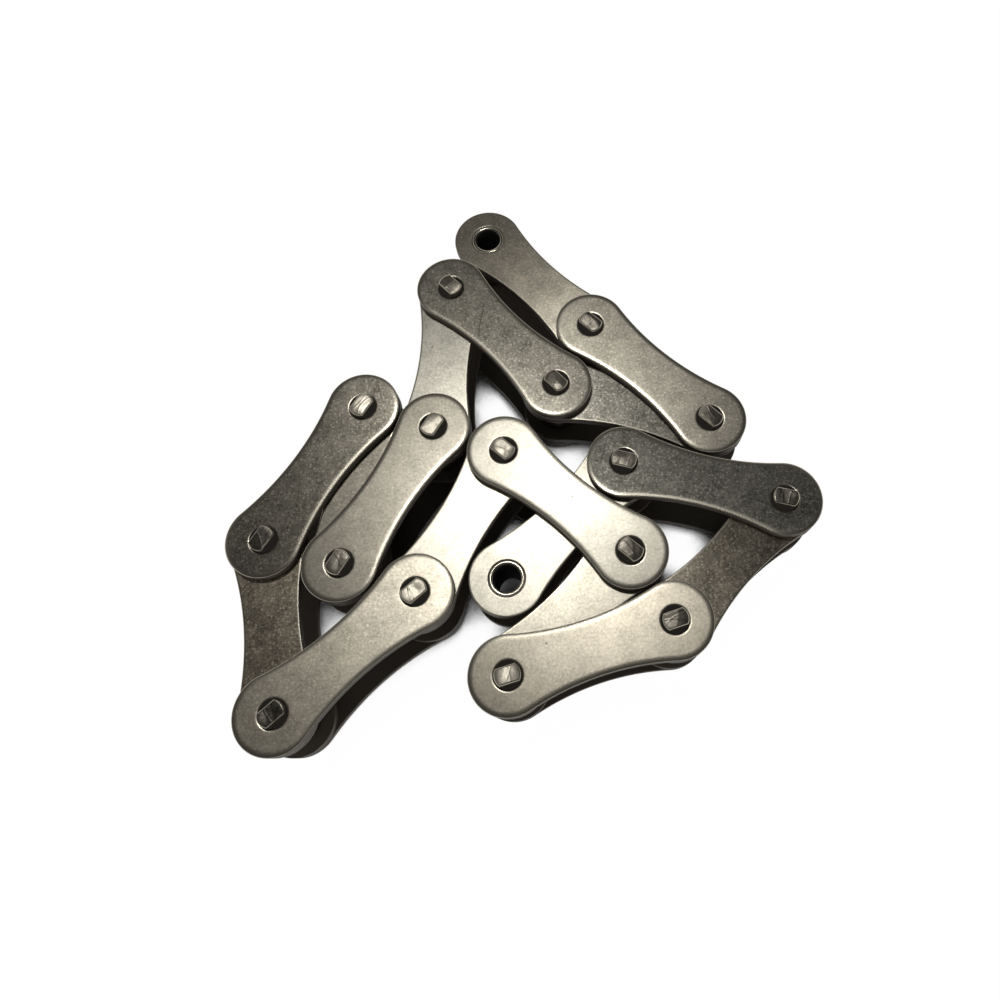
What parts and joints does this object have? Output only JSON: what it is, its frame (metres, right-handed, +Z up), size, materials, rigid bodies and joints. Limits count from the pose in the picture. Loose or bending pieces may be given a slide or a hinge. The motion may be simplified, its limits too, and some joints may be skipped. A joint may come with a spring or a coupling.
{
  "type": "double pitch roller chain",
  "caption": "Length of double pitch roller chain with waisted plates, staked pins and small rollers, laid folded flat; links turn on their pins and rollers on their bushes.",
  "frame": {"origin": "on the surface that the chain lies on, below the middle of its outline", "axes": "+Z up along the pins, +X across the laid chain to the right as the picture shows it, +Y away from the viewer"},
  "size_m": [0.0912, 0.0902, 0.0167],
  "materials": {
    "plate_steel": "satin, bead-blasted warm grey steel with rounded edges",
    "pin_steel": "hardened steel pin, staked ends with a bright uneven face",
    "bush_steel": "hardened steel bush, fine turned end faces",
    "roller_steel": "smooth hardened steel roller with a thin oil film"
  },
  "bodies": {
    "roller_link_1": {"inner_plates_1": "plate_steel", "bushes_1": "bush_steel"},
    "roller_body_1a": {"roller_1a": "roller_steel"},
    "roller_body_1b": {"roller_1b": "roller_steel"},
    "pin_link_1": {"outer_plate_top_1": "plate_steel", "outer_plate_bottom_1": "plate_steel", "pins_1": "pin_steel"},
    "roller_link_2": {"inner_plates_2": "plate_steel", "bushes_2": "bush_steel"},
    "roller_body_2a": {"roller_2a": "roller_steel"},
    "roller_body_2b": {"roller_2b": "roller_steel"},
    "pin_link_2": {"outer_plate_top_2": "plate_steel", "outer_plate_bottom_2": "plate_steel", "pins_2": "pin_steel"},
    "roller_link_3": {"inner_plates_3": "plate_steel", "bushes_3": "bush_steel"},
    "roller_body_3a": {"roller_3a": "roller_steel"},
    "roller_body_3b": {"roller_3b": "roller_steel"},
    "pin_link_3": {"outer_plate_top_3": "plate_steel", "outer_plate_bottom_3": "plate_steel", "pins_3": "pin_steel"},
    "roller_link_4": {"inner_plates_4": "plate_steel", "bushes_4": "bush_steel"},
    "roller_body_4a": {"roller_4a": "roller_steel"},
    "roller_body_4b": {"roller_4b": "roller_steel"},
    "pin_link_4": {"outer_plate_top_4": "plate_steel", "outer_plate_bottom_4": "plate_steel", "pins_4": "pin_steel"},
    "roller_link_5": {"inner_plates_5": "plate_steel", "bushes_5": "bush_steel"},
    "roller_body_5a": {"roller_5a": "roller_steel"},
    "roller_body_5b": {"roller_5b": "roller_steel"},
    "pin_link_5": {"outer_plate_top_5": "plate_steel", "outer_plate_bottom_5": "plate_steel", "pins_5": "pin_steel"},
    "roller_link_6": {"inner_plates_6": "plate_steel", "bushes_6": "bush_steel"},
    "roller_body_6a": {"roller_6a": "roller_steel"},
    "roller_body_6b": {"roller_6b": "roller_steel"},
    "pin_link_6": {"outer_plate_top_6": "plate_steel", "outer_plate_bottom_6": "plate_steel", "pins_6": "pin_steel"},
    "roller_link_7": {"inner_plates_7": "plate_steel", "bushes_7": "bush_steel"},
    "roller_body_7a": {"roller_7a": "roller_steel"},
    "roller_body_7b": {"roller_7b": "roller_steel"},
    "pin_link_7": {"outer_plate_top_7": "plate_steel", "outer_plate_bottom_7": "plate_steel", "pins_7": "pin_steel"},
    "roller_link_8": {"inner_plates_8": "plate_steel", "bushes_8": "bush_steel"},
    "roller_body_8a": {"roller_8a": "roller_steel"},
    "roller_body_8b": {"roller_8b": "roller_steel"},
    "pin_link_8": {"outer_plate_top_8": "plate_steel", "outer_plate_bottom_8": "plate_steel", "pins_8": "pin_steel"},
    "roller_link_9": {"inner_plates_9": "plate_steel", "bushes_9": "bush_steel"},
    "roller_body_9a": {"roller_9a": "roller_steel"},
    "roller_body_9b": {"roller_9b": "roller_steel"}
  },
  "joints": [
    {"name": "pin_01_hinge", "type": "hinge", "parent": "pin_link_1", "child": "roller_link_1", "pos_m": [0.01102, 0.02091, 0.00833], "axis": [0, 0, -1], "range_deg": [0, 149]},
    {"name": "pin_02_hinge", "type": "hinge", "parent": "roller_link_2", "child": "pin_link_1", "pos_m": [0.02948, 0.00346, 0.00833], "axis": [0, 0, -1], "range_deg": [0, 152]},
    {"name": "pin_03_hinge", "type": "hinge", "parent": "pin_link_2", "child": "roller_link_2", "pos_m": [0.00505, 0.01042, 0.00833], "axis": [0, 0, -1], "range_deg": [0, 30.4]},
    {"name": "pin_04_hinge", "type": "hinge", "parent": "roller_link_3", "child": "pin_link_2", "pos_m": [-0.0125, 0.02878, 0.00833], "axis": [0, 0, 1], "range_deg": [0, 131]},
    {"name": "pin_05_hinge", "type": "hinge", "parent": "pin_link_3", "child": "roller_link_3", "pos_m": [-0.01471, 0.00348, 0.00833], "axis": [0, 0, -1], "range_deg": [0, 26.7]},
    {"name": "pin_06_hinge", "type": "hinge", "parent": "roller_link_4", "child": "pin_link_3", "pos_m": [-0.02806, -0.01813, 0.00833], "axis": [0, 0, -1], "range_deg": [0, 152.1]},
    {"name": "pin_07_hinge", "type": "hinge", "parent": "pin_link_4", "child": "roller_link_4", "pos_m": [-0.02615, 0.0072, 0.00833], "axis": [0, 0, 1], "range_deg": [0, 139.2]},
    {"name": "pin_08_hinge", "type": "hinge", "parent": "roller_link_5", "child": "pin_link_4", "pos_m": [-0.03984, -0.0142, 0.00833], "axis": [0, 0, 1], "range_deg": [0, 194]},
    {"name": "pin_09_hinge", "type": "hinge", "parent": "roller_link_5", "child": "pin_link_5", "pos_m": [-0.03578, -0.03928, 0.00833], "axis": [0, 0, -1], "range_deg": [0, 121]},
    {"name": "pin_10_hinge", "type": "hinge", "parent": "pin_link_5", "child": "roller_link_6", "pos_m": [-0.01649, -0.02275, 0.00833], "axis": [0, 0, -1], "range_deg": [0, 63]},
    {"name": "pin_11_hinge", "type": "hinge", "parent": "roller_link_6", "child": "pin_link_6", "pos_m": [-0.00349, -0.00093, 0.00833], "axis": [0, 0, 1], "range_deg": [0, 99.8]},
    {"name": "pin_12_hinge", "type": "hinge", "parent": "pin_link_6", "child": "roller_link_7", "pos_m": [0.01571, -0.01756, 0.00833], "axis": [0, 0, 1], "range_deg": [0, 95.3]},
    {"name": "pin_13_hinge", "type": "hinge", "parent": "roller_link_7", "child": "pin_link_7", "pos_m": [-0.00271, -0.03504, 0.00833], "axis": [0, 0, -1], "range_deg": [0, 79.1]},
    {"name": "pin_14_hinge", "type": "hinge", "parent": "pin_link_7", "child": "roller_link_8", "pos_m": [0.02169, -0.028, 0.00833], "axis": [0, 0, -1], "range_deg": [0, 28.3]},
    {"name": "pin_15_hinge", "type": "hinge", "parent": "roller_link_8", "child": "pin_link_8", "pos_m": [0.03984, -0.01023, 0.00833], "axis": [0, 0, -1], "range_deg": [0, 119.5]},
    {"name": "pin_16_hinge", "type": "hinge", "parent": "pin_link_8", "child": "roller_link_9", "pos_m": [0.01539, -0.00335, 0.00833], "axis": [0, 0, -1], "range_deg": [-61.4, 0]},
    {"name": "roller_1a_spin", "type": "hinge", "parent": "roller_link_1", "child": "roller_body_1a", "pos_m": [-0.00652, 0.03928, 0.00833], "axis": [0, 0, 1], "continuous": true},
    {"name": "roller_1b_spin", "type": "hinge", "parent": "roller_link_1", "child": "roller_body_1b", "pos_m": [0.01102, 0.02091, 0.00833], "axis": [0, 0, 1], "continuous": true},
    {"name": "roller_2a_spin", "type": "hinge", "parent": "roller_link_2", "child": "roller_body_2a", "pos_m": [0.02948, 0.00346, 0.00833], "axis": [0, 0, 1], "continuous": true},
    {"name": "roller_2b_spin", "type": "hinge", "parent": "roller_link_2", "child": "roller_body_2b", "pos_m": [0.00505, 0.01042, 0.00833], "axis": [0, 0, 1], "continuous": true},
    {"name": "roller_3a_spin", "type": "hinge", "parent": "roller_link_3", "child": "roller_body_3a", "pos_m": [-0.0125, 0.02878, 0.00833], "axis": [0, 0, 1], "continuous": true},
    {"name": "roller_3b_spin", "type": "hinge", "parent": "roller_link_3", "child": "roller_body_3b", "pos_m": [-0.01471, 0.00348, 0.00833], "axis": [0, 0, 1], "continuous": true},
    {"name": "roller_4a_spin", "type": "hinge", "parent": "roller_link_4", "child": "roller_body_4a", "pos_m": [-0.02806, -0.01813, 0.00833], "axis": [0, 0, 1], "continuous": true},
    {"name": "roller_4b_spin", "type": "hinge", "parent": "roller_link_4", "child": "roller_body_4b", "pos_m": [-0.02615, 0.0072, 0.00833], "axis": [0, 0, 1], "continuous": true},
    {"name": "roller_5a_spin", "type": "hinge", "parent": "roller_link_5", "child": "roller_body_5a", "pos_m": [-0.03984, -0.0142, 0.00833], "axis": [0, 0, 1], "continuous": true},
    {"name": "roller_5b_spin", "type": "hinge", "parent": "roller_link_5", "child": "roller_body_5b", "pos_m": [-0.03578, -0.03928, 0.00833], "axis": [0, 0, 1], "continuous": true},
    {"name": "roller_6a_spin", "type": "hinge", "parent": "roller_link_6", "child": "roller_body_6a", "pos_m": [-0.01649, -0.02275, 0.00833], "axis": [0, 0, 1], "continuous": true},
    {"name": "roller_6b_spin", "type": "hinge", "parent": "roller_link_6", "child": "roller_body_6b", "pos_m": [-0.00349, -0.00093, 0.00833], "axis": [0, 0, 1], "continuous": true},
    {"name": "roller_7a_spin", "type": "hinge", "parent": "roller_link_7", "child": "roller_body_7a", "pos_m": [0.01571, -0.01756, 0.00833], "axis": [0, 0, 1], "continuous": true},
    {"name": "roller_7b_spin", "type": "hinge", "parent": "roller_link_7", "child": "roller_body_7b", "pos_m": [-0.00271, -0.03504, 0.00833], "axis": [0, 0, 1], "continuous": true},
    {"name": "roller_8a_spin", "type": "hinge", "parent": "roller_link_8", "child": "roller_body_8a", "pos_m": [0.02169, -0.028, 0.00833], "axis": [0, 0, 1], "continuous": true},
    {"name": "roller_8b_spin", "type": "hinge", "parent": "roller_link_8", "child": "roller_body_8b", "pos_m": [0.03984, -0.01023, 0.00833], "axis": [0, 0, 1], "continuous": true},
    {"name": "roller_9a_spin", "type": "hinge", "parent": "roller_link_9", "child": "roller_body_9a", "pos_m": [0.01539, -0.00335, 0.00833], "axis": [0, 0, 1], "continuous": true},
    {"name": "roller_9b_spin", "type": "hinge", "parent": "roller_link_9", "child": "roller_body_9b", "pos_m": [-0.00304, -0.02084, 0.00833], "axis": [0, 0, 1], "continuous": true}
  ],
  "couplings": [
    {"joint": "pin_03_hinge", "follows": "pin_04_hinge", "ratio": 0.2315},
    {"joint": "pin_05_hinge", "follows": "pin_04_hinge", "ratio": 0.2034},
    {"joint": "pin_06_hinge", "follows": "pin_09_hinge", "ratio": 1.257},
    {"joint": "pin_07_hinge", "follows": "pin_09_hinge", "ratio": 1.1496},
    {"joint": "pin_11_hinge", "follows": "pin_09_hinge", "ratio": 0.8245},
    {"joint": "pin_12_hinge", "follows": "pin_09_hinge", "ratio": 0.7875},
    {"joint": "pin_13_hinge", "follows": "pin_09_hinge", "ratio": 0.6536},
    {"joint": "pin_14_hinge", "follows": "pin_09_hinge", "ratio": 0.2331},
    {"joint": "pin_15_hinge", "follows": "pin_09_hinge", "ratio": 0.9876},
    {"joint": "pin_16_hinge", "follows": "pin_09_hinge", "ratio": -0.5071}
  ]
}
